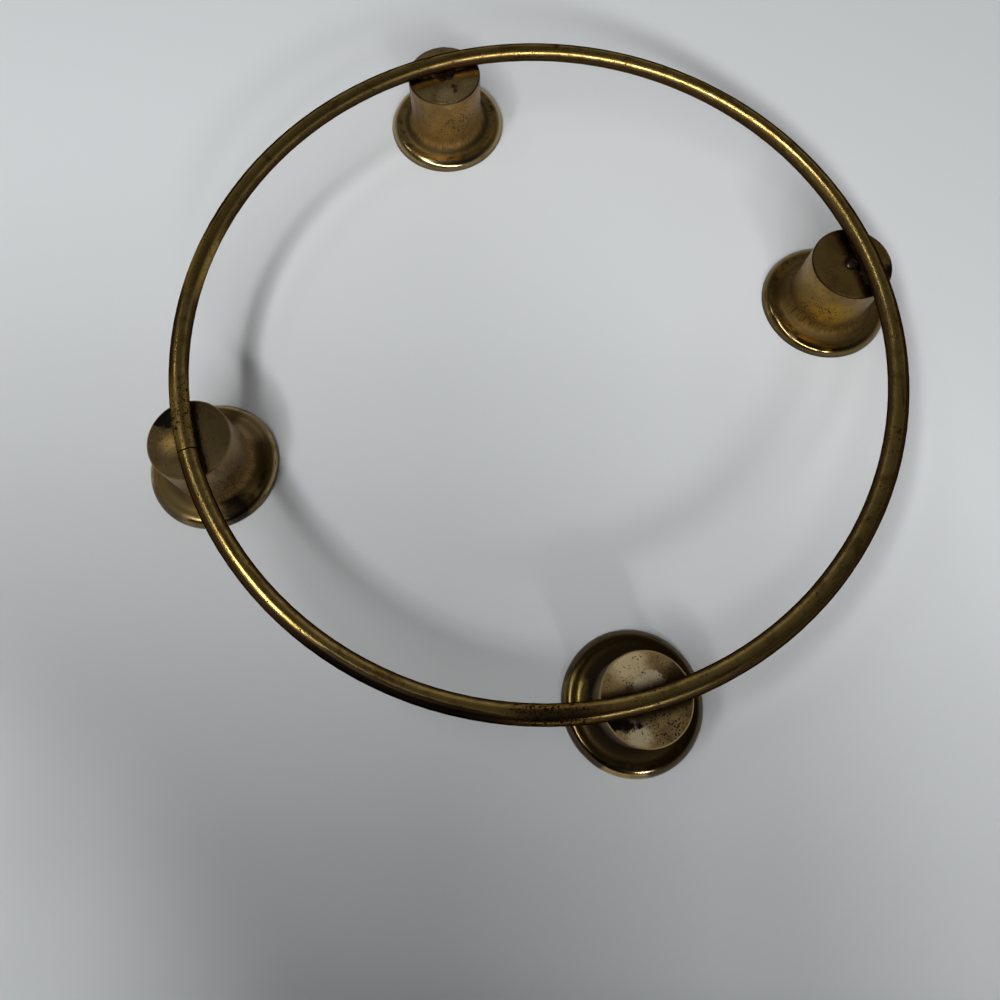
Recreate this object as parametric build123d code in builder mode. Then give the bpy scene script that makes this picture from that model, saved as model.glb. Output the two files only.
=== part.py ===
"""Brass advent candle holder: four candle cups soldered onto a ring bent from round rod.

Millimetres. +Z is up as the holder is used: the ring lies on z = 0 about the Z axis, and the cups stand
on it with their mouths up.
"""
import os
from math import asin, cos, degrees, sin, sqrt, radians

from build123d import *

# Ring: round rod bent to a hoop, with its two ends butted under one of the cups
ring_diameter = 204.0  # across the centre line of the rod
rod_diameter = 5.5
seam_gap = 0.35  # between the butted ends
seam_distance = 4.5  # from the axis of the cup above it, along the rod
rod_end_rounding = 0.2

# Candle cup: a straight well for a candle, with a brim that catches the wax
candle_bore = 22.2
cup_wall = 0.7
floor_thickness = 0.9
floor_corner_radius = 1.5  # inside, between the floor and the wall
well_height = 19.0  # straight outside wall, from the foot to the bend into the brim
throat_radius = 4.2  # hollow bend from the wall into the brim, outside
brim_ledge = 0.6  # level part of the brim, between its two bends
lip_radius = 3.0  # bend from the brim up to the rim, outside
foot_chamfer = 0.35
rim_rounding = 0.25

# Rivet through the middle of the foot: a low head inside the cup, a domed tail in the hole
rivet_shank_diameter = 3.0
rivet_hole_clearance = 0.4  # round the shank
rivet_head_diameter = 6.4
rivet_head_height = 1.2
rivet_recess_share = 0.3  # of the floor's thickness, from the foot's face to the tip of the tail
rivet_dome_share = 0.5  # of the floor's thickness, height of the tail's dome

# Solder between the rod and the foot
solder_film = 0.1  # thickness on top of the rod
solder_half_width = 1.4  # on the rod, from its highest line to the edge of the solder
solder_spread = 0.5  # further out on the foot than on the rod
solder_hollow = 0.08  # dip of the solder's sloping sides
solder_length = 13.0  # along the rod

# Each cup's place: its angle about the ring's axis, and how far its axis lies inside the rod's centre line
front_right_angle = -44.0
front_right_inset = 3.8
back_right_angle = 45.9
back_right_inset = 0.6
back_left_angle = 133.6
back_left_inset = 0.3
front_left_angle = -135.6
front_left_inset = 2.6

ring_radius = ring_diameter / 2
rod_radius = rod_diameter / 2
foot_level = rod_diameter + solder_film
bore_radius = candle_bore / 2
foot_radius = bore_radius + cup_wall
throat_end_radius = foot_radius + throat_radius
lip_start_radius = throat_end_radius + brim_ledge
brim_radius = lip_start_radius + lip_radius
brim_underside = well_height + throat_radius
brim_top = brim_underside + cup_wall
cup_height = brim_underside + lip_radius
lip_inner_radius = brim_radius - cup_wall
lip_inner_bend = lip_radius - cup_wall
throat_inner_bend = throat_radius + cup_wall
floor_radius = bore_radius - floor_corner_radius
corner_level = floor_thickness + floor_corner_radius
rivet_shank_radius = rivet_shank_diameter / 2
rivet_hole_radius = rivet_shank_radius + rivet_hole_clearance

cup_places = {
    "front_right": (front_right_angle, front_right_inset),
    "back_right": (back_right_angle, back_right_inset),
    "back_left": (back_left_angle, back_left_inset),
    "front_left": (front_left_angle, front_left_inset),
}


def radial_plane(angle, distance=0, height=0):
    """Upright plane through the ring's axis at an angle: its x runs outward and its y runs up."""
    outward = Vector(cos(radians(angle)), sin(radians(angle)), 0)
    sideways = Vector(sin(radians(angle)), -cos(radians(angle)), 0)
    return Plane(origin=outward * distance + Vector(0, 0, height), x_dir=outward, z_dir=sideways)


def foot_plane(place):
    """Upright plane through the axis of one cup, with its origin in the middle of the foot's face."""
    angle, inset = cup_places[place]
    return radial_plane(angle, ring_radius - inset, foot_level)


def arc_angle(length):
    """Angle about the ring's axis that a length along the rod takes, in degrees."""
    return degrees(length / ring_radius)


def save(piece, name):
    piece.label = name
    export_step(piece, f"parts/{name}.step")


def dome_sagitta(radius, height):
    """Bulge of a round dome's half profile, from its edge to its top, over the straight line there."""
    sphere_radius = (radius**2 + height**2) / (2 * height)
    half_chord = sqrt(radius**2 + height**2) / 2
    return -(sphere_radius - sqrt(sphere_radius**2 - half_chord**2))


def make_ring():
    """The ring: one turn of the rod, less the seam, with its two ends eased."""
    seam_angle = back_left_angle - arc_angle(seam_distance)
    seam_span = arc_angle(seam_gap)
    with BuildPart() as ring:
        with BuildSketch(radial_plane(seam_angle + seam_span / 2)):
            with Locations((ring_radius, rod_radius)):
                Circle(rod_radius)
        revolve(axis=Axis.Z, revolution_arc=360 - seam_span)
        fillet(ring.faces().filter_by(GeomType.PLANE).edges(), rod_end_rounding)
    return ring.part


def make_cup(place):
    """One candle cup: its section, from the hole in the foot to the rim and back inside, turned once."""
    section = foot_plane(place)
    with BuildPart() as cup:
        with BuildSketch(section):
            with BuildLine():
                # Outside, from the hole up to the rim
                Polyline(
                    (rivet_hole_radius, floor_thickness),
                    (rivet_hole_radius, 0),
                    (foot_radius - foot_chamfer, 0),
                    (foot_radius, foot_chamfer),
                    (foot_radius, well_height),
                )
                RadiusArc((foot_radius, well_height), (throat_end_radius, brim_underside), throat_radius)
                Line((throat_end_radius, brim_underside), (lip_start_radius, brim_underside))
                RadiusArc((lip_start_radius, brim_underside), (brim_radius, cup_height), -lip_radius)
                # Inside, from the rim down to the hole
                Line((brim_radius, cup_height), (lip_inner_radius, cup_height))
                RadiusArc((lip_inner_radius, cup_height), (lip_start_radius, brim_top), lip_inner_bend)
                Line((lip_start_radius, brim_top), (throat_end_radius, brim_top))
                RadiusArc((throat_end_radius, brim_top), (bore_radius, well_height), -throat_inner_bend)
                Line((bore_radius, well_height), (bore_radius, corner_level))
                RadiusArc((bore_radius, corner_level), (floor_radius, floor_thickness), floor_corner_radius)
                Line((floor_radius, floor_thickness), (rivet_hole_radius, floor_thickness))
            make_face()
        revolve(axis=Axis(section.origin, (0, 0, 1)))
        fillet(cup.edges().group_by(Axis.Z)[-1], rim_rounding)
    return cup.part


def make_rivet(place):
    """One rivet: a domed head on the cup's floor, a shank in the hole and a domed tail at the foot."""
    section = foot_plane(place)
    head_radius = rivet_head_diameter / 2
    tail_tip = rivet_recess_share * floor_thickness
    tail_dome = rivet_dome_share * floor_thickness
    with BuildPart() as rivet:
        with BuildSketch(section):
            with BuildLine():
                Polyline(
                    (rivet_shank_radius, tail_tip + tail_dome),
                    (rivet_shank_radius, floor_thickness),
                    (head_radius, floor_thickness),
                )
                SagittaArc(
                    (head_radius, floor_thickness),
                    (0, floor_thickness + rivet_head_height),
                    dome_sagitta(head_radius, rivet_head_height),
                )
                Line((0, floor_thickness + rivet_head_height), (0, tail_tip))
                SagittaArc(
                    (0, tail_tip),
                    (rivet_shank_radius, tail_tip + tail_dome),
                    dome_sagitta(rivet_shank_radius, tail_dome),
                )
            make_face()
        revolve(axis=Axis(section.origin, (0, 0, 1)))
    return rivet.part


def make_solder(place):
    """Solder of one cup: it fills the hollow between the top of the rod and the foot's face."""
    angle = cup_places[place][0]
    span = arc_angle(solder_length)
    edge_level = rod_radius + rod_radius * cos(asin(solder_half_width / rod_radius))
    outer = solder_half_width + solder_spread
    with BuildPart() as solder:
        with BuildSketch(radial_plane(angle - span / 2)):
            with BuildLine():
                ThreePointArc(
                    (ring_radius - solder_half_width, edge_level),
                    (ring_radius, rod_diameter),
                    (ring_radius + solder_half_width, edge_level),
                )
                SagittaArc(
                    (ring_radius + solder_half_width, edge_level),
                    (ring_radius + outer, foot_level),
                    solder_hollow,
                )
                Line((ring_radius + outer, foot_level), (ring_radius - outer, foot_level))
                SagittaArc(
                    (ring_radius - outer, foot_level),
                    (ring_radius - solder_half_width, edge_level),
                    solder_hollow,
                )
            make_face()
        revolve(axis=Axis.Z, revolution_arc=span)
    return solder.part


os.makedirs("parts", exist_ok=True)
save(make_ring(), "ring_hoop")
for cup_place in cup_places:
    save(make_cup(cup_place), f"candle_cup_{cup_place}")
    save(make_rivet(cup_place), f"cup_rivet_{cup_place}")
    save(make_solder(cup_place), f"solder_joint_{cup_place}")
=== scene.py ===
"""Looks of a brass advent candle holder: aged brass, soldered joints, and a pale table.

Metres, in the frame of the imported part: +Z is up as the holder is used. The photograph shows the holder
turned over, so its camera looks up from below, and its table is a sheet that lies on the rims of the cups.
"""
from math import asin, atan2, cos, exp, pi, radians, sin, sqrt

import bmesh
import bpy
from mathutils import Euler, Matrix, Vector, noise


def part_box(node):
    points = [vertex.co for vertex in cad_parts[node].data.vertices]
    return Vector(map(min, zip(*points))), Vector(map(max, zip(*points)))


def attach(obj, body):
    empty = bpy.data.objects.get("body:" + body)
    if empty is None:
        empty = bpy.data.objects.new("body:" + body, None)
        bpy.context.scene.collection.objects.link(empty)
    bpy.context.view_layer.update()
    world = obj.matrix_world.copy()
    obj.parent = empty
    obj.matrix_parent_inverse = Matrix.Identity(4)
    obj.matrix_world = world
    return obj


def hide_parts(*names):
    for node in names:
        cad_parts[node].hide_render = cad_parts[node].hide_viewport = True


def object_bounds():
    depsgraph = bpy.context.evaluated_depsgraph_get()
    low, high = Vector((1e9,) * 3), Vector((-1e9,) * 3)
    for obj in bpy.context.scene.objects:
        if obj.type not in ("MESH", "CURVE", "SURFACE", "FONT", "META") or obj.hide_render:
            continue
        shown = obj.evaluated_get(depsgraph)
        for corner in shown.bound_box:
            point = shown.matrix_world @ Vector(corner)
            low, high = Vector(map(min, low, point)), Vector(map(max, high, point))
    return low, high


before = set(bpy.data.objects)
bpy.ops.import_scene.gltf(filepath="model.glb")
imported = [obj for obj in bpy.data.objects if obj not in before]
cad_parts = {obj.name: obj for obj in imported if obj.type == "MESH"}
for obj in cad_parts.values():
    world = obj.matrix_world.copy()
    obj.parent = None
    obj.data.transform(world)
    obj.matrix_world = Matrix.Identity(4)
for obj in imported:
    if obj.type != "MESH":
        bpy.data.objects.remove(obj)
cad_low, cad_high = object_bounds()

MM = 0.001
scene = bpy.context.scene
scene.view_settings.view_transform = "Standard"

# The part's sizes that the looks follow, in millimetres, and the angle of the ring's seam, in degrees
ring_radius = 102.0
rod_radius = 2.75
foot_level = 5.6
foot_radius = 11.8
brim_radius = 19.6
rim_level = cad_high.z / MM
seam_angle = 131.07

cup_places = ("front_right", "back_right", "back_left", "front_left")

# Camera of the photograph
camera_place = Vector((40.73, 99.36, -232.77)) * MM
camera_turn = Euler([radians(angle) for angle in (-158.932, -0.822, -29.452)])
focal_share = 0.9  # focal length over the picture's width
sensor_width = 36.0
camera_shift = (0.023, -0.1117)
camera_nearest = 0.01

# Directions on the table as the picture shows them
picture_right = Vector((0.8708, -0.4917, 0))
picture_down = Vector((0.4917, 0.8708, 0))


def cup_axis(place):
    """Point in the middle of one cup's foot."""
    low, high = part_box(f"candle_cup_{place}")
    middle = (low + high) / 2
    return Vector((middle.x, middle.y, foot_level * MM))


def linear(code):
    """Linear colour of an sRGB hex value."""
    parts = [int(code[i:i + 2], 16) / 255 for i in (1, 3, 5)]
    return (*[c / 12.92 if c <= 0.04045 else ((c + 0.055) / 1.055) ** 2.4 for c in parts], 1)


def add(tree, kind, inputs=None, **settings):
    """One node with its settings. Its inputs, by name or number, are values or other nodes' outputs."""
    node = tree.nodes.new(kind)
    for name, value in settings.items():
        setattr(node, name, value)
    for name, value in (inputs or {}).items():
        if isinstance(value, bpy.types.NodeSocket):
            tree.links.new(value, node.inputs[name])
        else:
            node.inputs[name].default_value = value
    return node


def new_material(name):
    """An empty node material and its tree."""
    material = bpy.data.materials.new(name)
    material.use_nodes = True
    material.node_tree.nodes.clear()
    return material, material.node_tree


def close_material(tree, finish, normal):
    """Ends a material with one shader that takes the finish's channels and a normal."""
    shader = add(tree, "ShaderNodeBsdfPrincipled", {**finish, "Normal": normal})
    add(tree, "ShaderNodeOutputMaterial", {"Surface": shader.outputs[0]})


def place_in_mm(tree):
    """Place on the holder in the part's frame, in millimetres."""
    metres = add(tree, "ShaderNodeTexCoord").outputs["Object"]
    return add(tree, "ShaderNodeVectorMath", {0: metres, "Scale": 1 / MM}, operation="SCALE").outputs[0]


# Clouds are noise: each finer step has this share of the one before, in this many steps if nothing is said
cloud_share = 0.6
cloud_steps = 4.0
cloud_middle = 0.5
edge_size = 1.8  # of the ragged parts of a patch's edge, in millimetres
streak_squeeze = 0.2  # of heights on the wall, so streaks are five times as long as wide


def where(tree, *zones):
    """Mask of the places in all zones: each a mask, or a value with where it starts and is full."""
    mask = None
    for zone in zones:
        if isinstance(zone, tuple):
            inputs = dict(zip(("Value", "From Min", "From Max"), zone))
            zone = add(tree, "ShaderNodeMapRange", inputs, interpolation_type="SMOOTHSTEP").outputs[0]
        if mask is not None:
            zone = add(tree, "ShaderNodeMath", {0: mask, 1: zone}, operation="MULTIPLY").outputs[0]
        mask = zone
    return mask


def blotches(tree, place, size, start, end, seed, steps=cloud_steps):
    """Mask of blotches of about that size in millimetres: a cloud cut between start and end."""
    inputs = {"Vector": place, "W": seed, "Scale": 1 / size, "Detail": steps, "Roughness": cloud_share}
    cloud = add(tree, "ShaderNodeTexNoise", inputs, noise_dimensions="4D").outputs[0]
    return where(tree, (cloud, start, end))


def frayed(tree, value, place, size, depth, seed):
    """A value made uneven by a cloud of about that size, by up to about half the depth each way."""
    inputs = {"Vector": place, "W": seed, "Scale": 1 / size, "Detail": cloud_steps, "Roughness": cloud_share}
    cloud = add(tree, "ShaderNodeTexNoise", inputs, noise_dimensions="4D").outputs[0]
    uneven = add(tree, "ShaderNodeMath", {0: cloud, 1: cloud_middle}, operation="SUBTRACT").outputs[0]
    return add(tree, "ShaderNodeMath", {0: uneven, 1: depth, 2: value}, operation="MULTIPLY_ADD").outputs[0]


def bumpy(tree, place, size, seed, strength, depth, steps=cloud_steps, under=None):
    """Normal of a surface with bumps of about that size and depth in millimetres, over another one."""
    inputs = {"Vector": place, "W": seed, "Scale": 1 / size, "Detail": steps, "Roughness": cloud_share}
    cloud = add(tree, "ShaderNodeTexNoise", inputs, noise_dimensions="4D").outputs[0]
    inputs = {"Strength": strength, "Distance": depth * MM, "Height": cloud}
    if under is not None:
        inputs["Normal"] = under
    return add(tree, "ShaderNodeBump", inputs).outputs[0]


def patch(tree, spot, place, reach, soft, fray, seed):
    """Mask of a frayed patch round a place, with an edge that fades over soft."""
    away = add(tree, "ShaderNodeVectorMath", {0: spot, 1: place}, operation="DISTANCE").outputs["Value"]
    return where(tree, (frayed(tree, away, spot, edge_size, fray, seed), reach, reach - soft))


def lay(tree, finish, mask, colour, roughness=None, metallic=None):
    """A finish with another one laid over it where the mask is white."""
    laid = dict(finish)
    inputs = {0: mask, 6: finish["Base Color"], 7: linear(colour)}
    laid["Base Color"] = add(tree, "ShaderNodeMix", inputs, data_type="RGBA").outputs[2]
    for channel, value in (("Roughness", roughness), ("Metallic", metallic)):
        if value is not None:
            mixed = add(tree, "ShaderNodeMix", {0: mask, 2: finish[channel], 3: value})
            laid[channel] = mixed.outputs[0]
    return laid


def across(tree, spot):
    """Distance of a place from the Z axis."""
    flat = add(tree, "ShaderNodeVectorMath", {0: spot, 1: (1, 1, 0)}, operation="MULTIPLY").outputs[0]
    return add(tree, "ShaderNodeVectorMath", {0: flat}, operation="LENGTH").outputs["Value"]


def streaked(tree, spot, height):
    """Places round a cup's axis in which clouds become streaks down the wall."""
    flat = add(tree, "ShaderNodeVectorMath", {0: spot, 1: (1, 1, 0)}, operation="MULTIPLY").outputs[0]
    outward = add(tree, "ShaderNodeVectorMath", {0: flat}, operation="NORMALIZE").outputs[0]
    inputs = {0: outward, "Scale": foot_radius}
    round_wall = add(tree, "ShaderNodeVectorMath", inputs, operation="SCALE").outputs[0]
    squeezed = add(tree, "ShaderNodeMath", {0: height, 1: streak_squeeze}, operation="MULTIPLY").outputs[0]
    lift = add(tree, "ShaderNodeCombineXYZ", {2: squeezed}).outputs[0]
    return add(tree, "ShaderNodeVectorMath", {0: round_wall, 1: lift}, operation="ADD").outputs[0]


# Zones of a cup, each from where it starts to where it is full, in millimetres. Those of the run go along
# the outside, up the wall and then out over the brim. The others are heights over the face of the foot
throat_run = (13.0, 19.0)
hairs_run = (15.5, 21.0)
specks_run = (22.0, 18.0)
brim_run = (25.0, 28.0)
lip_run = (28.0, 30.0)
rim_run = (31.4, 33.0)
grime_fade = 3.0
face_height = (0.06, 0.02)
edge_bottom = (0.004, 0.012)
edge_top = (0.42, 0.36)

# Specks on a cup: size and steps of their cloud, the levels that cut it, and its lift in a cluster
speck_size = 0.55
speck_steps = 3.0
speck_levels = (0.6, 0.66)
cluster_lift = 0.07

# Bumps of a cup: strength on the face of the foot and on the rest
face_bumps = 0.01
wall_bumps = 0.1

# Film of wax on the lip
wax_weight = 0.3
wax_roughness = 0.12

cup_seed_step = 7.0  # from one cup's clouds to the next one's


# Brass of the cups: spun and turned, then handled and waxed for decades. The walls are satin tan with dark
# specks and brown stains, grime creeps out of the hollow under the brim, and the lip is glossy
def cup_brass(place, look):
    material, tree = new_material(f"turned_brass_{place}")
    seed = cup_seed_step * cup_places.index(place)
    whole = place_in_mm(tree)
    inputs = {0: whole, 1: cup_axis(place) / MM}
    spot = add(tree, "ShaderNodeVectorMath", inputs, operation="SUBTRACT").outputs[0]
    height = add(tree, "ShaderNodeSeparateXYZ", {0: spot}).outputs[2]
    inputs = {0: across(tree, spot), 1: foot_radius}
    flare = add(tree, "ShaderNodeMath", inputs, operation="SUBTRACT").outputs[0]
    flare = add(tree, "ShaderNodeMath", {0: flare, 1: 0.0}, operation="MAXIMUM").outputs[0]
    run = add(tree, "ShaderNodeMath", {0: height, 1: flare}, operation="ADD").outputs[0]
    streaks = streaked(tree, spot, height)
    inputs = {0: across(tree, whole), 1: ring_radius}
    from_rod = add(tree, "ShaderNodeMath", inputs, operation="SUBTRACT").outputs[0]
    beside_rod = add(tree, "ShaderNodeMath", {0: from_rod}, operation="ABSOLUTE").outputs[0]
    face = where(tree, (height, *face_height))

    # Wall and the face of the foot
    finish = {"Base Color": linear(look["wall"]), "Roughness": 0.42, "Metallic": 1.0}
    light = blotches(tree, spot, size=8.0, start=0.42, end=0.62, seed=seed)
    finish = lay(tree, finish, light, look["wall_light"], roughness=0.38)
    dark = blotches(tree, streaks, size=4.0, start=0.54, end=0.72, seed=seed + 1)
    finish = lay(tree, finish, dark, look["wall_dark"], roughness=0.46)
    finish = lay(tree, finish, where(tree, (run, *throat_run)), look["throat"], roughness=0.62)
    finish = lay(tree, finish, face, look["foot"], roughness=look["foot_roughness"])
    clouds = blotches(tree, spot, size=7.0, start=0.4, end=0.65, seed=seed + 8)
    finish = lay(tree, finish, where(tree, face, clouds), look["foot_cloud"])

    # Brim: dark hairs and grime out of the hollow, then the brim with brown clouds, the lip and the rim
    hairs = blotches(tree, streaks, size=0.32, start=0.46, end=0.6, seed=seed + 6, steps=2.0)
    finish = lay(tree, finish, where(tree, hairs, (run, *hairs_run)), look["hairs"], roughness=0.6)
    hollow = frayed(tree, run, streaks, size=2.0, depth=5.0, seed=seed + 7)
    grime = where(tree, (hollow, look["grime_run"], look["grime_run"] + grime_fade))
    finish = lay(tree, finish, grime, look["hollow"], roughness=0.6)
    brim = where(tree, (frayed(tree, run, spot, size=3.0, depth=2.0, seed=seed + 13), *brim_run))
    finish = lay(tree, finish, brim, look["brim"], roughness=look["brim_roughness"])
    clouds = blotches(tree, spot, size=3.5, start=0.5, end=0.66, seed=seed + 3)
    finish = lay(tree, finish, where(tree, brim, clouds), "#4A351B", roughness=0.36)
    lip = where(tree, (frayed(tree, run, spot, size=4.0, depth=1.5, seed=seed + 12), *lip_run))
    finish = lay(tree, finish, lip, look["lip"], roughness=0.14)
    clouds = blotches(tree, spot, size=5.0, start=0.5, end=0.7, seed=seed + 2)
    finish = lay(tree, finish, where(tree, lip, clouds), look["brim"], roughness=0.2)
    rim = where(tree, (frayed(tree, run, spot, size=4.0, depth=1.0, seed=seed + 11), *rim_run))
    finish = lay(tree, finish, rim, look["rim"], roughness=0.3)

    # Stains and patches of painted light, a band of painted shade of the rod on the foot beside it, and soot
    for x, y, z, reach, soft, colour, roughness in look["stains_and_painted_light"]:
        stain_and_painted_light = patch(tree, spot, (x, y, z), reach, soft, fray=4.0, seed=seed + x)
        finish = lay(tree, finish, stain_and_painted_light, colour, roughness)
    # Painted shade: a dark band on the foot beside the rod, for the rod's shadow and its reflection
    rod_shade_band = frayed(tree, beside_rod, spot, size=1.6, depth=2.0, seed=seed + 10)
    rod_shade_band = where(tree, face, (rod_shade_band, look["rod_shade_reach"], look["rod_shade_reach"] - look["rod_shade_fade"]))
    finish = lay(tree, finish, rod_shade_band, look["rod_shade"], roughness=0.3)
    for x, y, z, reach in look["soot"]:
        sooty = patch(tree, spot, (x, y, z), reach, soft=1.4, fray=6.0, seed=seed + x)
        finish = lay(tree, finish, sooty, "#131211", roughness=0.6)

    # Specks, which gather in clusters and stop below the brim
    cluster = patch(tree, spot, look["specked"], reach=9.0, soft=7.0, fray=4.0, seed=seed)
    inputs = {"Vector": spot, "W": seed + 5, "Scale": 1 / speck_size}
    inputs.update({"Detail": speck_steps, "Roughness": cloud_share})
    grain = add(tree, "ShaderNodeTexNoise", inputs, noise_dimensions="4D").outputs[0]
    inputs = {0: cluster, 1: cluster_lift, 2: grain}
    grain = add(tree, "ShaderNodeMath", inputs, operation="MULTIPLY_ADD").outputs[0]
    grain = frayed(tree, grain, spot, size=3.0, depth=0.3, seed=seed + 4)
    specks = where(tree, (grain, *speck_levels), (run, *specks_run))
    finish = lay(tree, finish, specks, "#2A2014", roughness=0.6)

    # Edge of the foot, rubbed bright or dark with grime
    edge = where(tree, (height, *edge_bottom), (height, *edge_top))
    finish = lay(tree, finish, edge, look["edge"], roughness=0.5)

    # The film of wax, and bumps that are lower on the face of the foot
    finish.update({"Coat Weight": where(tree, lip, wax_weight), "Coat Roughness": wax_roughness})
    inputs = {"Value": height, "From Min": face_height[1], "From Max": face_height[0]}
    inputs.update({"To Min": face_bumps, "To Max": wall_bumps})
    strength = add(tree, "ShaderNodeMapRange", inputs).outputs["Result"]
    close_material(tree, finish, bumpy(tree, spot, 1.5, seed, strength, depth=0.08, steps=3.0))
    return material


# Tarnish of the ring and painted shade on its inner flank, in millimetres. The lean is the height plus a
# share of the distance outward from the rod's centre line. Zones go from where they start to where they are
# full
lean_share = 0.15
flank_lean = (-0.1, 1.4)
inner_shade_lean = (0.0, 1.0)
outer_flank_reach = (0.35, 1.15)
below_top_height = (4.4, 3.2)
low_height = (2.4, 1.2)
# The inner flank is darkened with painted shade, a darker reflection, on all but the far stretch of the ring
inner_shade_side = picture_down  # of the ring, where the inner flank is darker
inner_shade_distance = (-70.0, -20.0)  # towards that side, from the ring's middle
creep_place = (14.0, 101.0, 0)  # where the outer flank's tarnish comes further in
creep_shift = 0.7
rubbed_place = (70.0, 74.0, 0)  # where it is rubbed back
rubbed_shift = -0.9

# Pits of the ring: size and steps of their cloud, the levels that cut it, and the stretches where they are
# denser, as place, lift of the cloud, colour and roughness
pit_size = 0.6
pit_steps = 2.0
pit_levels = (0.62, 0.68)
pitted_reach = 16.0
pitted_fade = 12.0
pitted_places = (
    (-74.0, 69.0, 0.08, "#7D6639", 0.42),
    (52.0, 87.0, 0.1, "#735A33", 0.17),
    (-98.0, 27.0, 0.05, "#8C7440", 0.25),
)
drawn_squeeze = 0.12  # of lengths along the rod, so drawing marks are about eight times as long as wide


# Brass of the ring: drawn rod, so its marks run along it. Tables rub the line that it lies on bright, and
# its flanks keep a dark tarnish, which ends below its top; on all but the far stretch the inner flank is
# also darkened with painted shade, a darker reflection. Pits and brown spots are scattered along it, most
# beside the joints. The dark specular tint keeps the rod dark where it turns away, as tarnish does
def ring_brass():
    material, tree = new_material("drawn_brass_rod")
    whole = place_in_mm(tree)
    metres = add(tree, "ShaderNodeTexCoord").outputs["Object"]
    inputs = {"Vector": metres, "Rotation": (0, 0, pi - radians(seam_angle)), "Scale": (1 / MM,) * 3}
    spot = add(tree, "ShaderNodeMapping", inputs).outputs[0]
    sides = add(tree, "ShaderNodeSeparateXYZ", {0: spot})
    height = sides.outputs[2]
    inputs = {0: sides.outputs[1], 1: sides.outputs[0]}
    angle = add(tree, "ShaderNodeMath", inputs, operation="ARCTAN2").outputs[0]
    along = add(tree, "ShaderNodeMath", {0: angle, 1: ring_radius}, operation="MULTIPLY").outputs[0]
    away = across(tree, spot)
    drawn = add(tree, "ShaderNodeCombineXYZ", {0: along, 1: away, 2: height}).outputs[0]
    inputs = {0: drawn, 1: (drawn_squeeze, 1, 1)}
    stretched = add(tree, "ShaderNodeVectorMath", inputs, operation="MULTIPLY").outputs[0]

    # Bare brass with lighter and darker clouds, and marks along the rod
    finish = {"Base Color": linear("#B49756"), "Roughness": 0.18, "Metallic": 1.0}
    finish["Specular Tint"] = linear("#3A3428")
    light = blotches(tree, drawn, size=14.0, start=0.42, end=0.62, seed=1.0)
    finish = lay(tree, finish, light, "#C4A661", roughness=0.15)
    dark = blotches(tree, drawn, size=4.0, start=0.5, end=0.66, seed=2.0)
    finish = lay(tree, finish, dark, "#8C703D", roughness=0.22)
    marks = blotches(tree, stretched, size=1.2, start=0.54, end=0.68, seed=3.0)
    finish = lay(tree, finish, marks, "#7D6031", roughness=0.24)

    # Tarnish on the flanks. The outer flank's comes further in at one stretch and is rubbed back at another.
    # The inner flank's, on all but the far stretch, is painted shade: a darker reflection
    outward = add(tree, "ShaderNodeMath", {0: away, 1: ring_radius}, operation="SUBTRACT").outputs[0]
    inputs = {0: outward, 1: lean_share, 2: height}
    lean = add(tree, "ShaderNodeMath", inputs, operation="MULTIPLY_ADD").outputs[0]
    flank = where(tree, (frayed(tree, lean, drawn, size=2.0, depth=1.2, seed=9.0), *flank_lean))
    creep = patch(tree, whole, creep_place, reach=40.0, soft=24.0, fray=4.0, seed=12.0)
    rubbed = patch(tree, whole, rubbed_place, reach=28.0, soft=14.0, fray=4.0, seed=13.0)
    outer = outward
    for stretch, shift in ((creep, creep_shift), (rubbed, rubbed_shift)):
        inputs = {0: stretch, 1: shift, 2: outer}
        outer = add(tree, "ShaderNodeMath", inputs, operation="MULTIPLY_ADD").outputs[0]
    outer = frayed(tree, outer, drawn, size=3.0, depth=0.6, seed=10.0)
    outer_flank = where(tree, (outer, *outer_flank_reach))
    inputs = {0: whole, 1: inner_shade_side}
    distance = add(tree, "ShaderNodeVectorMath", inputs, operation="DOT_PRODUCT").outputs["Value"]
    inner = frayed(tree, lean, drawn, size=2.0, depth=0.8, seed=11.0)
    inner_flank_shade = where(tree, (inner, *inner_shade_lean), (distance, *inner_shade_distance))
    for tarnish_and_shade in (flank, outer_flank, inner_flank_shade):
        below_top = where(tree, tarnish_and_shade, (height, *below_top_height))
        finish = lay(tree, finish, below_top, "#453722", roughness=0.4)

    # Brown spots, the pitted stretches, black low on the outer flank where tarnish comes in, and the pits
    spots = blotches(tree, drawn, size=5.0, start=0.6, end=0.72, seed=4.0)
    finish = lay(tree, finish, spots, "#52341F", roughness=0.4)
    inputs = {"Vector": drawn, "W": 5.0, "Scale": 1 / pit_size}
    inputs.update({"Detail": pit_steps, "Roughness": cloud_share})
    grain = add(tree, "ShaderNodeTexNoise", inputs, noise_dimensions="4D").outputs[0]
    grain = frayed(tree, grain, drawn, size=10.0, depth=0.4, seed=6.0)
    for x, y, lift, colour, roughness in pitted_places:
        pitted = patch(tree, whole, (x, y, 0), pitted_reach, pitted_fade, fray=4.0, seed=x)
        inputs = {0: pitted, 1: lift, 2: grain}
        grain = add(tree, "ShaderNodeMath", inputs, operation="MULTIPLY_ADD").outputs[0]
        finish = lay(tree, finish, pitted, colour, roughness)
    black = where(tree, outer_flank, (height, *low_height), creep)
    finish = lay(tree, finish, black, "#1B150D", roughness=0.35)
    finish = lay(tree, finish, where(tree, (grain, *pit_levels)), "#1F170D", roughness=0.5)

    # Low bumps over drawing lines, which are coarser than real ones so that they show
    lines = bumpy(tree, stretched, 0.35, 7.0, strength=0.05, depth=0.03, steps=3.0)
    close_material(tree, finish, bumpy(tree, drawn, 1.4, 8.0, 0.12, depth=0.1, steps=5.0, under=lines))
    return material


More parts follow.
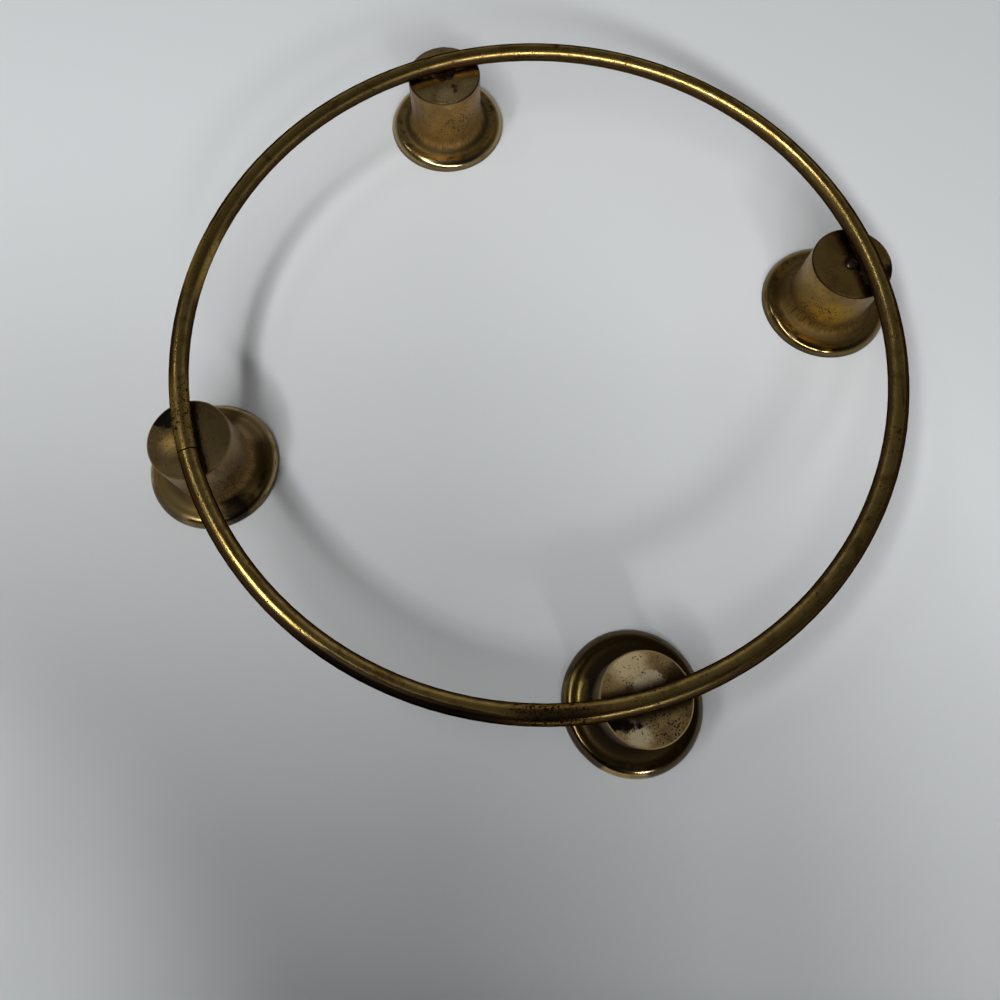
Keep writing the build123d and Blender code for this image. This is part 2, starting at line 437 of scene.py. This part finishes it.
# Rivet: mild steel, brown with rust, which leaves a dull glint between the dark spots
def rivet_steel():
    material, tree = new_material("rusted_rivet_steel")
    spot = place_in_mm(tree)
    finish = {"Base Color": linear("#6A5A50"), "Roughness": 0.24, "Metallic": 1.0}
    rust = blotches(tree, spot, size=1.0, start=0.42, end=0.6, seed=1.0)
    finish = lay(tree, finish, rust, "#3A2A22", roughness=0.4, metallic=0.8)
    close_material(tree, finish, bumpy(tree, spot, 0.5, 2.0, strength=0.3, depth=0.05))
    return material


# Solder: tin alloy under a dull black-brown skin of burnt flux, with a little metal showing
def solder_tin():
    material, tree = new_material("soft_solder_with_flux")
    spot = place_in_mm(tree)
    finish = {"Base Color": linear("#211A0F"), "Roughness": 0.55, "Metallic": 1.0}
    finish["Specular Tint"] = linear("#4A3D26")
    bare = blotches(tree, spot, size=1.6, start=0.62, end=0.76, seed=1.0)
    finish = lay(tree, finish, bare, "#4A3D26", roughness=0.5)
    close_material(tree, finish, bumpy(tree, spot, 0.9, 2.0, strength=0.4, depth=0.15))
    return material


# Look of each cup: the wall with its clouds, the throat, and the hollow with its hairs and where along the
# run its grime starts; the brim, the lip and the rim; the foot with its clouds and edge; the band of painted
# shade of the rod on the foot, with its reach from the rod's centre line and the width of its fading; and
# the middle of the specked zone. Stains and patches of painted light are place, reach, softness, colour and
# roughness, and soot is place and reach. Places are in millimetres from the middle of the foot
cup_looks = {
    "front_right": {
        "wall": "#7A602C", "wall_light": "#8E6F33", "wall_dark": "#574326", "throat": "#6E5528",
        "hollow": "#574527", "hairs": "#4A381C", "grime_run": 22.0,
        "brim": "#9A8048", "brim_roughness": 0.26, "lip": "#6E5A32", "rim": "#4A3C22",
        "foot": "#BE9B58", "foot_cloud": "#A08048", "foot_roughness": 0.24, "edge": "#1F180E",
        "rod_shade": "#2A2013", "rod_shade_reach": 5.0, "rod_shade_fade": 1.8,
        "specked": (-1.0, 11.5, 13.5),
        "stains_and_painted_light": [
            (3.0, 11.4, 12.0, 9.0, 6.0, "#9A782A", 0.5),
            (-13.0, 4.0, 23.0, 7.0, 5.0, "#5A4426", 0.4),
            # Painted shade: a darker spot that breaks the lip's highlight in two, and a dark ring round the
            # rivet hole
            (-3.8, 16.7, 23.3, 2.4, 2.2, "#57452A", 0.45),
            (0, 0, 0, 3.4, 1.6, "#2A2013", 0.4),
        ],
        "soot": [(11.5, -3.0, 0, 3.4)],
    },
    "back_right": {
        "wall": "#4E3E26", "wall_light": "#5A482B", "wall_dark": "#2E2416", "throat": "#33281A",
        "hollow": "#2E2415", "hairs": "#261D11", "grime_run": 17.0,
        "brim": "#4A3A1E", "brim_roughness": 0.26, "lip": "#4A3C22", "rim": "#3A2E1A",
        "foot": "#A0865A", "foot_cloud": "#6E5A38", "foot_roughness": 0.48, "edge": "#A08858",
        "rod_shade": "#45361F", "rod_shade_reach": 5.6, "rod_shade_fade": 3.2,
        "specked": (7.5, 3.5, 0),
        "stains_and_painted_light": [
            # The pale patches on the foot (#F0D8A8, #F2DEB4) are painted highlights
            (-7.8, -5.6, 0, 6.5, 4.0, "#F0D8A8", 0.44),
            (4.0, -8.6, 0, 5.0, 4.0, "#57452A", 0.4),
            (0, -2.6, 0, 5.0, 0.8, "#F2DEB4", 0.4),
            (2.4, 8.9, 0, 4.4, 3.0, "#F2DEB4", 0.4),
            (-15.8, 5.0, 23.3, 5.0, 3.0, "#6A5A30", 0.24),
            # Painted highlight: lighter, glossier brass along the lower lip
            (2.7, 19.0, 24.6, 3.4, 2.0, "#B49A62", 0.14),
            (6.5, 17.9, 24.6, 3.4, 2.0, "#B49A62", 0.14),
            (10.0, 16.2, 24.6, 3.4, 2.0, "#A08858", 0.16),
        ],
        "soot": [(-4.6, 9.2, 0, 3.0), (-2.0, 8.0, 0, 2.6), (0.5, 6.6, 0, 1.8)],
    },
    "back_left": {
        "wall": "#836A42", "wall_light": "#927649", "wall_dark": "#6A5436", "throat": "#967848",
        "hollow": "#5C4A2D", "hairs": "#6E5836", "grime_run": 21.5,
        "brim": "#5E4D2D", "brim_roughness": 0.52, "lip": "#927E52", "rim": "#6A5A3A",
        "foot": "#625234", "foot_cloud": "#56482E", "foot_roughness": 0.22, "edge": "#7D6A45",
        "rod_shade": "#2A2013", "rod_shade_reach": 4.0, "rod_shade_fade": 2.4,
        "specked": (10.5, 3.0, 16.0),
        "stains_and_painted_light": [
            (-3.6, 3.4, 0, 4.6, 4.4, "#A88A50", 0.26),
            (14.6, 8.2, 23.2, 7.4, 5.0, "#1F1810", 0.3),
            (4.0, -16.0, 23.2, 7.0, 4.0, "#948056", 0.5),
            (-5.0, 16.4, 23.5, 10.0, 5.0, "#5A4C2E", 0.62),
        ],
        "soot": [(-10.6, -2.6, 0, 5.0), (-7.2, -0.8, 0, 1.4)],
    },
    "front_left": {
        "wall": "#7B6032", "wall_light": "#8C6B37", "wall_dark": "#6A5430", "throat": "#8C6E3A",
        "hollow": "#46381F", "hairs": "#6A5230", "grime_run": 21.2,
        "brim": "#A48A54", "brim_roughness": 0.3, "lip": "#9E8A60", "rim": "#6A5A3C",
        "foot": "#D2B67E", "foot_cloud": "#B09460", "foot_roughness": 0.26, "edge": "#33281A",
        "rod_shade": "#33281A", "rod_shade_reach": 4.8, "rod_shade_fade": 2.4,
        "specked": (9.5, 6.5, 10.0),
        "stains_and_painted_light": [
            (5.0, 6.4, 0, 5.0, 4.5, "#E2C792", 0.3),
            (5.3, 2.4, 0, 1.5, 1.2, "#5A3A22", 0.45),
            (6.4, 3.6, 0, 1.1, 0.8, "#5A4426", 0.45),
        ],
        "soot": [],
    },
}

steel = rivet_steel()
tin = solder_tin()
finishes = {"ring_hoop": ring_brass()}
for place in cup_places:
    finishes[f"candle_cup_{place}"] = cup_brass(place, cup_looks[place])
    finishes[f"cup_rivet_{place}"] = steel
    finishes[f"solder_joint_{place}"] = tin
for name, material in finishes.items():
    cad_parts[name].material_slots[0].material = material


def new_object(name, builder):
    """An object from a finished bmesh."""
    mesh = bpy.data.meshes.new(name)
    builder.to_mesh(mesh)
    builder.free()
    made = bpy.data.objects.new(name, mesh)
    scene.collection.objects.link(made)
    return made


# Solder beads: uneven fillets that fill the corner between the rod and the foot on both sides, in the place
# of the plain solder, in millimetres. Reaches are on the foot, in and out from the rod's centre line
bead_length = 17.0
bead_steps = 96
bead_end_reach = 1.2
bead_end_power = 0.3  # the lower, the blunter the ends
swell_share = 0.5  # of the reach, which chance adds or takes
swells = 14  # along the bead
swell_row = 5  # from one cup's chance to the next one's
swell_layer = 0.3  # of the noise
rod_steps = 7  # round the rod
rod_inset = 0.5  # by which the bead reaches less far on the rod than on the foot
rod_limit = 0.9  # of the rod's radius, the furthest that the bead reaches on the rod
fillet_share = 0.3  # of the way from the rod out to the end, where the fillet's hollow lies
fillet_drop = 0.2
fillet_steps = (0.25, 0.5, 0.75, 1)

# Lumps are places where the inner reach grows: share of the bead's length, growth and spread
beads = {
    "front_right": {
        "inner": 2.0,
        "outer": 3.0,
        "lumps": [(0.72, 1.4, 0.06), (0.86, 1.0, 0.06), (0.94, 0.8, 0.04)],
    },
    "back_right": {"inner": 2.5, "outer": 2.6, "lumps": []},
    "back_left": {"inner": 2.7, "outer": 2.8, "lumps": [(0.6, 0.4, 0.1)]},
    "front_left": {"inner": 2.2, "outer": 3.0, "lumps": [(0.42, 2.8, 0.1), (0.6, 2.8, 0.1)]},
}


def bead_section(inner, outer, lump):
    """Closed outline of a bead across the rod: round the top of the rod, then back along the foot."""
    climbs = [asin(min(rod_limit, (reach - rod_inset) / rod_radius)) for reach in (inner, outer)]
    on_rod = [-climbs[0] + (climbs[0] + climbs[1]) * i / rod_steps for i in range(rod_steps + 1)]
    outline = [(rod_radius * sin(a), rod_radius * (1 + cos(a))) for a in on_rod]
    for side, reach, climb in ((1, outer, climbs[1]), (-1, inner + lump, climbs[0])):
        start = Vector((side * rod_radius * sin(climb), rod_radius * (1 + cos(climb))))
        end = Vector((side * reach, foot_level))
        hollow = rod_radius * sin(climb) * (1 - fillet_share) + reach * fillet_share
        corner = Vector((side * hollow, foot_level - fillet_drop))
        curve = [start * (1 - t) ** 2 + corner * 2 * t * (1 - t) + end * t ** 2 for t in fillet_steps]
        outline += curve if side > 0 else curve[::-1]
    return outline


def solder_bead(place):
    """The bead of one cup, in the place of its plain solder."""
    axis = cup_axis(place)
    middle = atan2(axis.y, axis.x)
    seed = cup_places.index(place)
    look = beads[place]
    builder = bmesh.new()
    rings = []
    for i in range(bead_steps + 1):
        share = i / bead_steps
        taper = sin(pi * share) ** bead_end_power
        swell = [noise.noise(Vector((share * swells, seed * swell_row + k, swell_layer))) for k in range(2)]
        lump = sum(
            growth * exp(-((share - place_share) / spread) ** 2)
            for place_share, growth, spread in look["lumps"]
        )
        inner = bead_end_reach + (look["inner"] - bead_end_reach) * taper * (1 + swell_share * swell[0])
        outer = bead_end_reach + (look["outer"] - bead_end_reach) * taper * (1 + swell_share * swell[1])
        turn = middle + (share - 0.5) * bead_length / ring_radius
        out = Vector((cos(turn), sin(turn), 0))
        section = bead_section(inner, outer, lump)
        points = [out * (ring_radius + x) + Vector((0, 0, z)) for x, z in section]
        rings.append([builder.verts.new(p * MM) for p in points])
    for one, following in zip(rings, rings[1:]):
        for k in range(len(one)):
            builder.faces.new((one[k - 1], one[k], following[k], following[k - 1]))
    builder.faces.new(rings[0])
    builder.faces.new(rings[-1][::-1])
    bmesh.ops.recalc_face_normals(builder, faces=builder.faces)
    bead = new_object(f"solder_bead_{place}", builder)
    bead.data.shade_smooth()
    bead.data.materials.append(tin)
    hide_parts(f"solder_joint_{place}")
    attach(bead, "root")


for place in cup_places:
    solder_bead(place)

# The photograph's table: a sheet over the rims that faces down, open over the mouths of the cups. From
# above the camera sees through it
table_reach = 0.7
table_clearance = 0.02 * MM
mouth_overlap = 0.35  # of the sheet over the rims, in millimetres
mouth_radius = (brim_radius - mouth_overlap) * MM
mouth_sides = 96
table_level = rim_level * MM + table_clearance

# The floor under the ring, which only the camera sees, and only from above
floor_reach = 6.0
floor_drop = 0.05 * MM
shade_reach = 26.0 * MM
shade_samples = 8
backdrop_grey = "#CACCCD"


def pale_sheet(name, tree_end):
    """Pale sheet. tree_end gives, from the tree, its shader and the mask of rays that pass through it."""
    material, tree = new_material(name)
    shader, hidden = tree_end(tree)
    clear = add(tree, "ShaderNodeBsdfTransparent")
    mixed = add(tree, "ShaderNodeMixShader", {0: hidden, 1: shader.outputs[0], 2: clear.outputs[0]})
    add(tree, "ShaderNodeOutputMaterial", {"Surface": mixed.outputs[0]})
    return material


def table_white(tree):
    """Matt white, which lets the camera's rays through from behind."""
    matt = add(tree, "ShaderNodeBsdfDiffuse", {"Color": linear("#E0E3E5")})
    behind = add(tree, "ShaderNodeNewGeometry").outputs["Backfacing"]
    return matt, where(tree, behind, add(tree, "ShaderNodeLightPath").outputs["Is Camera Ray"])


def floor_white(tree):
    """The backdrop's grey with soft shade close to the holder, for the camera's rays from above alone."""
    inputs = {"Color": linear(backdrop_grey), "Distance": shade_reach}
    shade = add(tree, "ShaderNodeAmbientOcclusion", inputs, samples=shade_samples)
    glow = add(tree, "ShaderNodeEmission", {"Color": shade.outputs["Color"], "Strength": 1.0})
    behind = add(tree, "ShaderNodeNewGeometry").outputs["Backfacing"]
    front = add(tree, "ShaderNodeMath", {0: 1.0, 1: behind}, operation="SUBTRACT").outputs[0]
    shown = where(tree, front, add(tree, "ShaderNodeLightPath").outputs["Is Camera Ray"])
    return glow, add(tree, "ShaderNodeMath", {0: 1.0, 1: shown}, operation="SUBTRACT").outputs[0]


builder = bmesh.new()
outlines = [[Vector((sx, sy, 0)) * table_reach for sx, sy in ((1, 1), (1, -1), (-1, -1), (-1, 1))]]
turns = [2 * pi * i / mouth_sides for i in range(mouth_sides)]
for place in cup_places:
    axis = cup_axis(place)
    mouth = [(axis.x + mouth_radius * cos(turn), axis.y + mouth_radius * sin(turn), 0) for turn in turns]
    outlines.append([Vector(point) for point in mouth])
edges = []
for outline in outlines:
    points = [builder.verts.new((p.x, p.y, table_level)) for p in outline]
    edges += [builder.edges.new((points[i - 1], points[i])) for i in range(len(points))]
bmesh.ops.triangle_fill(builder, use_beauty=True, edges=edges, normal=(0, 0, -1))
table = new_object("table", builder)
table.data.materials.append(pale_sheet("table_white", table_white))

builder = bmesh.new()
bmesh.ops.create_grid(builder, x_segments=1, y_segments=1, size=floor_reach)
floor = new_object("floor", builder)
floor.location.z = -floor_drop
floor.data.materials.append(pale_sheet("floor_white", floor_white))

lamp_distance = 1.2


def softbox(name, direction, beside, length, width, radiance):
    """A soft lamp that faces the holder from a direction, with its length along beside."""
    lamp = bpy.data.lights.new(name, "AREA")
    lamp.shape = "RECTANGLE"
    lamp.size = length
    lamp.size_y = width
    lamp.energy = radiance * pi * length * width
    back = direction.normalized()
    side = (beside - back * beside.dot(back)).normalized()
    facing = Matrix((side, back.cross(side), back)).transposed().to_4x4()
    stand = bpy.data.objects.new(name, lamp)
    stand.matrix_world = Matrix.Translation(back * lamp_distance) @ facing
    scene.collection.objects.link(stand)


def from_below(turn, tilt):
    """Direction from below: its angle in the picture from right to down, and its share along the table."""
    level = picture_right * (tilt * cos(radians(turn))) + picture_down * (tilt * sin(radians(turn)))
    return level - Vector((0, 0, sqrt(1 - tilt ** 2)))


# Lamps of the photograph: a row that bends round the near left of the table. Towards its end the lamps come
# nearer to the table's level and get brighter. Its turns are in degrees, and its tilts are shares along the
# table
row_count = 9
row_start = 194.0
row_end = 74.0
tilt_start = 0.34
tilt_end = 0.85
row_lamp_length = 0.22
row_lamp_width = 0.09
row_radiance = 5.9
row_radiance_step = 5.1
row = []
for i in range(row_count):
    share = i / (row_count - 1)
    turn = row_start + share * (row_end - row_start)
    row.append(from_below(turn, tilt_start + share * (tilt_end - tilt_start)))
for i in range(row_count):
    beside = row[min(i + 1, row_count - 1)] - row[max(i - 1, 0)]
    radiance = row_radiance + row_radiance_step * i
    softbox(f"row_lamp_{i}", row[i], beside, row_lamp_length, row_lamp_width, radiance)

# A small lamp on the far left, which draws the fine line along the ring
side_turn = 202.0
side_tilt = 0.62
softbox("side_lamp", from_below(side_turn, side_tilt), picture_down, length=0.16, width=0.08, radiance=9.0)

# Lamps over the mouths for views from above
over_size = 0.6
softbox("key_lamp", Vector((-0.5, -0.6, 0.8)), Vector((1, 0, 0)), over_size, over_size, radiance=4.0)
softbox("fill_lamp", Vector((0.7, 0.3, 0.7)), Vector((0, 1, 0)), over_size, over_size, radiance=2.0)

# A black flag beyond the near edge of the picture, which shades that side of the table. Its corners are
# measured right and down in the picture
flag_corners = ((-0.33, 0.165), (0.073, 0.18), (0.075, 0.688), (-0.15, 0.72), (-0.12, 0.25))
flag_level = -0.12
builder = bmesh.new()
corners = []
for right, down in flag_corners:
    corner = picture_right * right + picture_down * down
    corners.append(builder.verts.new((corner.x, corner.y, flag_level)))
builder.faces.new(corners)
flag = new_object("flag", builder)
flag.visible_camera = False
material, tree = new_material("flag_black")
black = add(tree, "ShaderNodeBsdfDiffuse", {"Color": linear("#141414")})
add(tree, "ShaderNodeOutputMaterial", {"Surface": black.outputs[0]})
flag.data.materials.append(material)

# World: a dim room under the table, dark on the near side, a soft studio over it, and a pale backdrop
room_sides = (-0.9, 0.6)  # far and near, by how much a direction points down the picture
room_lights = (0.11, 0.005)  # on those sides
horizon = (-0.75, 0.05)  # heights of a direction, from the room up to the studio
studio_light = 0.6
world = bpy.data.worlds.new("studio")
world.use_nodes = True
tree = world.node_tree
tree.nodes.clear()
direction = add(tree, "ShaderNodeTexCoord").outputs["Generated"]
height = add(tree, "ShaderNodeSeparateXYZ", {0: direction}).outputs[2]
inputs = {0: direction, 1: picture_down}
nearer = add(tree, "ShaderNodeVectorMath", inputs, operation="DOT_PRODUCT").outputs["Value"]
inputs = {"Value": nearer, "From Min": room_sides[0], "From Max": room_sides[1]}
inputs.update({"To Min": room_lights[0], "To Max": room_lights[1]})
room = add(tree, "ShaderNodeMapRange", inputs).outputs[0]
inputs = {0: where(tree, (height, *horizon)), 2: room, 3: studio_light}
level = add(tree, "ShaderNodeMix", inputs).outputs[0]
light = add(tree, "ShaderNodeBackground", {"Color": (1, 1, 1, 1), "Strength": level})
backdrop = add(tree, "ShaderNodeBackground", {"Color": linear(backdrop_grey), "Strength": 1.0})
shown = add(tree, "ShaderNodeLightPath").outputs["Is Camera Ray"]
mixed = add(tree, "ShaderNodeMixShader", {0: shown, 1: light.outputs[0], 2: backdrop.outputs[0]})
add(tree, "ShaderNodeOutputWorld", {"Surface": mixed.outputs[0]})
scene.world = world

camera = bpy.data.objects.new("camera", bpy.data.cameras.new("camera"))
camera.location = camera_place
camera.rotation_euler = camera_turn
camera.data.sensor_width = sensor_width
camera.data.lens = sensor_width * focal_share
camera.data.shift_x, camera.data.shift_y = camera_shift
camera.data.clip_start = camera_nearest
scene.collection.objects.link(camera)
scene.camera = camera
